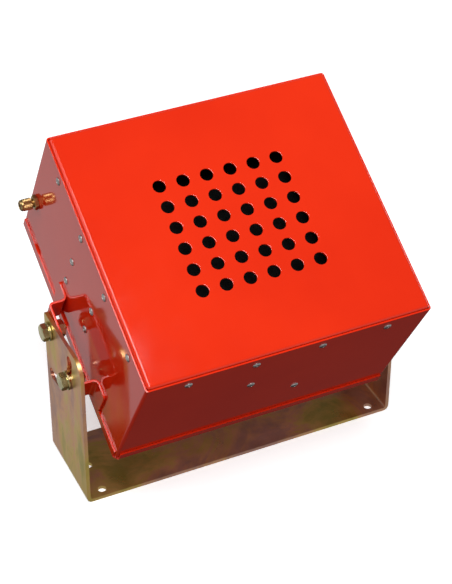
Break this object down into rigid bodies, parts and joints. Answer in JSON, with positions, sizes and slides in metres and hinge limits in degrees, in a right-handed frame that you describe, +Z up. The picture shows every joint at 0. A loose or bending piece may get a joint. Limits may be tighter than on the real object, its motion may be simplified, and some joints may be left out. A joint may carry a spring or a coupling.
{
  "type": "aerosol fire extinguishing generator",
  "caption": "Red sheet-steel fire-suppression case with a perforated outlet face, tilting in a U-shaped wall or ceiling bracket.",
  "frame": {"origin": "on the underside of the bracket base, straight under the tilt pivot, half way across", "axes": "+Z up from the base, +X across the case to the right, the case looks towards -Y and +Z"},
  "size_m": [0.2944, 0.2626, 0.2855],
  "materials": {
    "red": "gloss",
    "zinc": "satin",
    "bolt_zinc": "satin",
    "rivet": "satin",
    "steel": "satin",
    "foil": "satin",
    "brass": "satin",
    "coolant": "matte",
    "charge": "matte",
    "fibre": "matte",
    "lead": "satin"
  },
  "bodies": {
    "bracket": {"mounting_bracket": "zinc"},
    "case": {"shell": "red", "front_cover": "red", "back_cover": "red", "ear_left": "red", "ear_right": "red", "front_rivets": "rivet", "chamber_rivets": "rivet", "rear_screws": "rivet", "chamber": "steel", "outlet_plate": "steel", "outlet_seal": "foil", "front_screen": "steel", "rear_screen": "steel", "coolant_bed": "coolant", "charge_plate": "steel", "charge_blocks": "charge", "insulation_sleeve": "fibre", "insulation_board": "fibre", "igniter_boss": "steel", "igniter": "brass", "igniter_lead": "lead", "spacer_left": "steel", "spacer_right": "steel", "spacer_top": "steel", "spacer_bottom": "steel", "gland_body": "brass", "gland_washer": "rivet", "gland_nut": "brass", "gland_barrel": "brass", "pivot_bolt_left": "bolt_zinc", "pivot_bolt_right": "bolt_zinc", "pivot_washer_left": "bolt_zinc", "pivot_washer_right": "bolt_zinc", "pivot_nut_left": "bolt_zinc", "pivot_nut_right": "bolt_zinc", "lock_bolt_left": "bolt_zinc", "lock_bolt_right": "bolt_zinc", "lock_washer_left": "bolt_zinc", "lock_washer_right": "bolt_zinc", "lock_nut_left": "bolt_zinc", "lock_nut_right": "bolt_zinc"}
  },
  "joints": [
    {"name": "case_tilt", "type": "hinge", "parent": "bracket", "child": "case", "pos_m": [0, 0, 0.13], "axis": [1, 0, 0], "range_deg": [-30, 60]}
  ]
}
